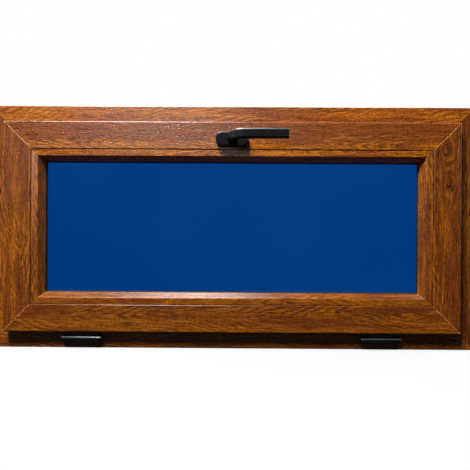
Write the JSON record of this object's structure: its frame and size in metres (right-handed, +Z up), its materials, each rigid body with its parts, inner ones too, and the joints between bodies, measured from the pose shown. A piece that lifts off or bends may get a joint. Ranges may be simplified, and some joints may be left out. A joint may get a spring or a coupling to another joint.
{
  "type": "hopper window",
  "caption": "Wide bottom-hung hopper window: oak-foiled mitred frame and sash, blue double glazing, black lever handle on the top rail and black barrel hinges below.",
  "frame": {"origin": "centre of the frame's flat underside, at mid-depth of the frame", "axes": "X to the right as seen from the room, Y from the room to the outside, Z up"},
  "size_m": [1, 0.143, 0.5],
  "materials": {
    "frame_rail_foil": "golden oak woodgrain foil, satin, grain along the bar",
    "frame_stile_foil": "golden oak woodgrain foil, satin, grain along the bar",
    "sash_rail_foil": "golden oak woodgrain foil, satin, grain along the bar",
    "sash_stile_foil": "golden oak woodgrain foil, satin, grain along the bar",
    "bead_rail_foil": "golden oak woodgrain foil, satin, grain along the bar",
    "bead_stile_foil": "golden oak woodgrain foil, satin, grain along the bar",
    "seal_rubber": "black soft seal, matt",
    "cap_plastic": "brown moulded plastic, matt",
    "fitting_black": "black powder coat, satin",
    "glass_blue": "deep blue tinted float glass, polished",
    "spacer_metal": "mill finish",
    "gear_steel": "zinc plated"
  },
  "bodies": {
    "frame": {"frame_sill": "frame_rail_foil", "frame_head": "frame_rail_foil", "frame_left_jamb": "frame_stile_foil", "frame_right_jamb": "frame_stile_foil", "frame_seal": "seal_rubber", "drain_cap_left": "cap_plastic", "drain_cap_right": "cap_plastic", "hinge_left_frame_leaf": "fitting_black", "hinge_right_frame_leaf": "fitting_black", "hinge_left_pin": "fitting_black", "hinge_right_pin": "fitting_black"},
    "sash": {"sash_bottom_rail": "sash_rail_foil", "sash_top_rail": "sash_rail_foil", "sash_left_stile": "sash_stile_foil", "sash_right_stile": "sash_stile_foil", "sash_seal": "seal_rubber", "bead_bottom": "bead_rail_foil", "bead_top": "bead_rail_foil", "bead_left": "bead_stile_foil", "bead_right": "bead_stile_foil", "bead_seal": "seal_rubber", "glazing_seal": "seal_rubber", "glass_room_pane": "glass_blue", "glass_outer_pane": "glass_blue", "glass_spacer": "spacer_metal", "gear_faceplate": "gear_steel", "hinge_left_sash_leaf": "fitting_black", "hinge_right_sash_leaf": "fitting_black", "handle_rosette": "fitting_black"},
    "handle": {"handle_collar": "fitting_black", "handle_lever": "fitting_black"}
  },
  "joints": [
    {"name": "sash_tilt", "type": "hinge", "parent": "frame", "child": "sash", "pos_m": [0, -0.044, 0.0215], "axis": [1, 0, 0], "range_deg": [0, 30]},
    {"name": "handle_turn", "type": "hinge", "parent": "sash", "child": "handle", "pos_m": [0, -0.062, 0.4271], "axis": [0, 1, 0], "range_deg": [0, 90]}
  ]
}
